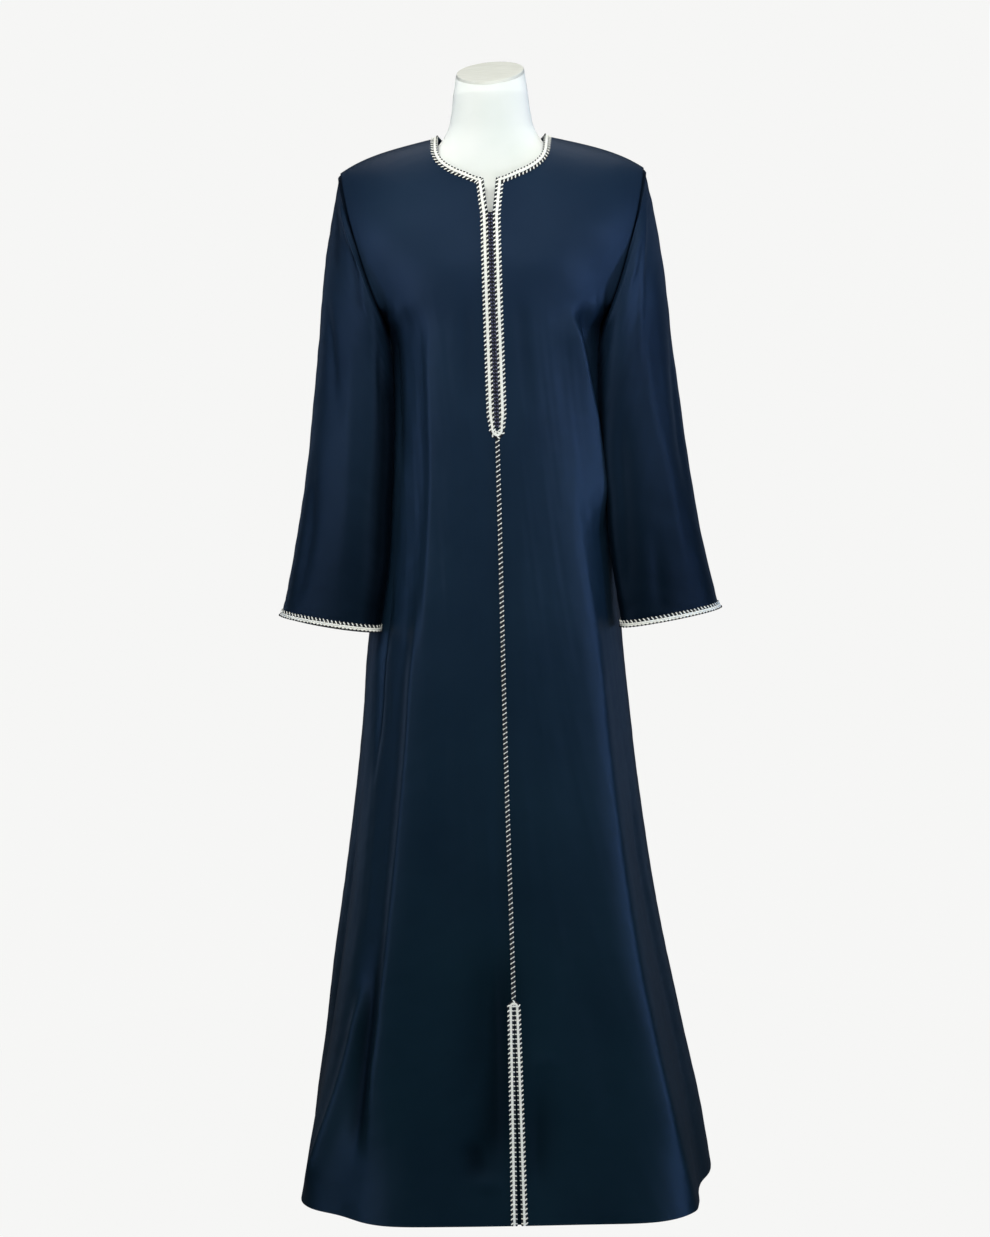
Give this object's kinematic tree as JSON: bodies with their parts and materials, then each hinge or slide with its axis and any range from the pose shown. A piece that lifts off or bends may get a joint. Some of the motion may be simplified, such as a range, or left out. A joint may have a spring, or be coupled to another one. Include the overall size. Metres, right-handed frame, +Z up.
{
  "type": "djellaba robe on limbless dress form",
  "caption": "Floor-length djellaba robe with set-in long sleeves, knotted neck slit, braided neck, cuffs, centre seam and hem slit, worn by a limbless dress form on a pole stand.",
  "frame": {"origin": "middle of the round foot's underside, on the floor", "axes": "+Z up, the robe faces -Y and its right sleeve as seen from the front is on +X"},
  "size_m": [0.5914, 0.5837, 1.4955],
  "materials": {
    "navy_crepe": "smooth crepe with a soft satin sheen",
    "cream_braid": "flat woven braid and twisted cord",
    "navy_knot_silk": "plaited silk cord with a sheen",
    "white_shell": "satin white moulded shell",
    "cap_paint": "matt grey-beige paint",
    "brushed_steel": "brushed"
  },
  "bodies": {
    "root": {"back": "navy_crepe", "front_left": "navy_crepe", "front_right": "navy_crepe", "sleeve_left": "navy_crepe", "sleeve_right": "navy_crepe", "centre_cord": "cream_braid", "cuff_braid_left": "cream_braid", "cuff_braid_right": "cream_braid", "hem_slit_braid": "cream_braid", "neck_braid": "cream_braid", "placket_braid": "cream_braid", "knot_column": "navy_knot_silk", "form_bust": "white_shell", "neck_cap": "cap_paint", "stand_pole": "brushed_steel", "stand_foot": "brushed_steel"}
  },
  "joints": []
}
